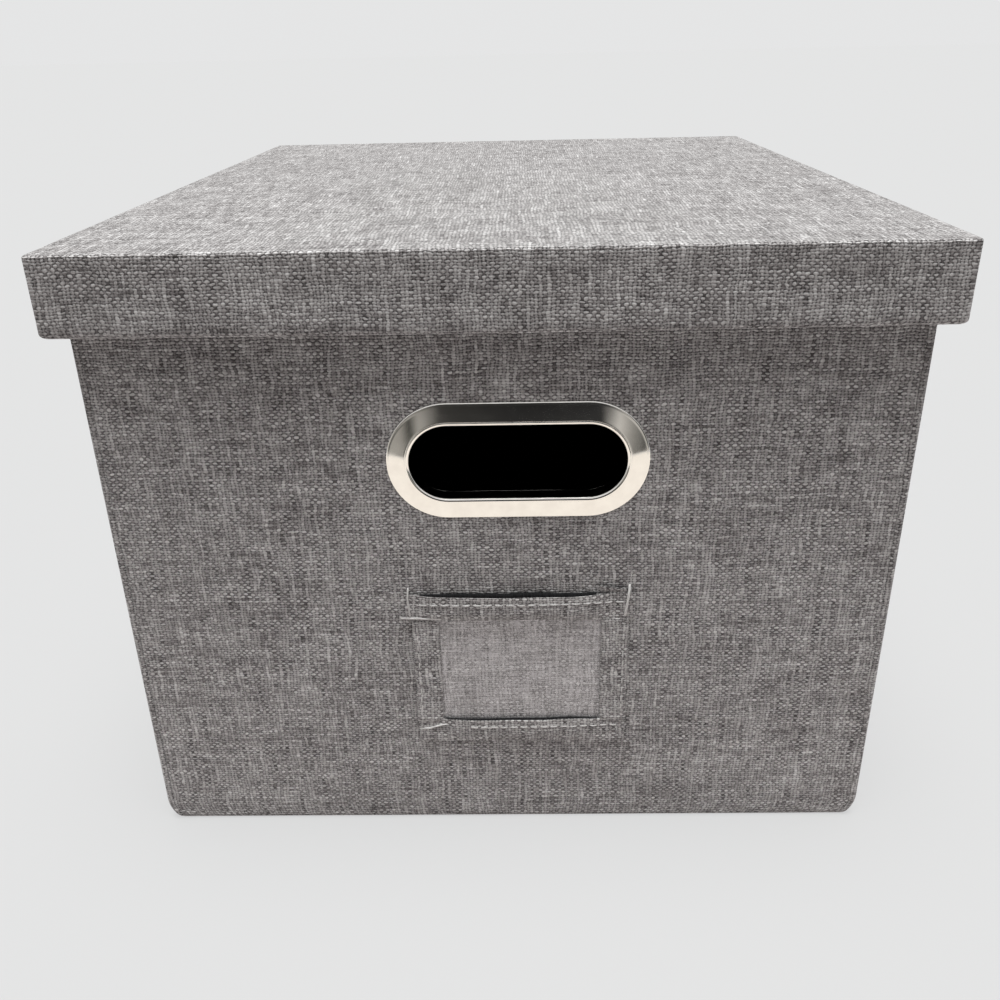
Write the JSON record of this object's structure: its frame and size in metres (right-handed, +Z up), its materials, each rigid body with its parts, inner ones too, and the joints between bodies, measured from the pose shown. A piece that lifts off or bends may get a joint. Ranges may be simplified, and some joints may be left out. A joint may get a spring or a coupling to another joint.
{
  "type": "file storage box",
  "caption": "Linen-covered file storage box with a lift-off lid, metal-rimmed hand holes front and rear, and a sewn label pocket on the front.",
  "frame": {"origin": "on the floor, under the middle of the box", "axes": "+Z up, -Y towards the front with the label, +X to the right seen from the front"},
  "size_m": [0.33, 0.41, 0.261],
  "materials": {
    "linen": "plain weave of light and dark grey melange yarns with slubs",
    "non_woven": "black point-bonded non-woven",
    "greyboard": "plain grey chipboard, hidden in the covers",
    "polished_metal": "polished nickel plate",
    "back_plate_metal": "dull plated steel",
    "label_film": "hazy clear film",
    "rail_plastic": "white extruded plastic"
  },
  "bodies": {
    "box": {"front_cover": "linen", "rear_cover": "linen", "left_cover": "linen", "right_cover": "linen", "rim_facing": "linen", "label_tape_left": "linen", "label_tape_right": "linen", "label_tape_top": "linen", "label_tape_bottom": "linen", "bottom_cover": "non_woven", "front_lining": "non_woven", "rear_lining": "non_woven", "left_lining": "non_woven", "right_lining": "non_woven", "bottom_lining": "non_woven", "front_board": "greyboard", "rear_board": "greyboard", "left_front_board": "greyboard", "left_rear_board": "greyboard", "right_front_board": "greyboard", "right_rear_board": "greyboard", "front_grommet": "polished_metal", "rear_grommet": "polished_metal", "front_grommet_plate": "back_plate_metal", "rear_grommet_plate": "back_plate_metal", "label_window": "label_film", "left_file_rail": "rail_plastic", "right_file_rail": "rail_plastic"},
    "floor_insert": {"floor_board": "greyboard", "floor_board_wrap": "non_woven"},
    "lid": {"lid_cover": "linen", "lid_lining": "non_woven", "lid_top_board": "greyboard", "lid_front_board": "greyboard", "lid_rear_board": "greyboard", "lid_left_board": "greyboard", "lid_right_board": "greyboard"}
  },
  "joints": [
    {"name": "lid_lift", "type": "slide", "parent": "box", "child": "lid", "axis": [0, 0, 1], "range_m": [0, 0.3]},
    {"name": "floor_insert_lift", "type": "slide", "parent": "box", "child": "floor_insert", "axis": [0, 0, 1], "range_m": [0, 0.22]}
  ]
}
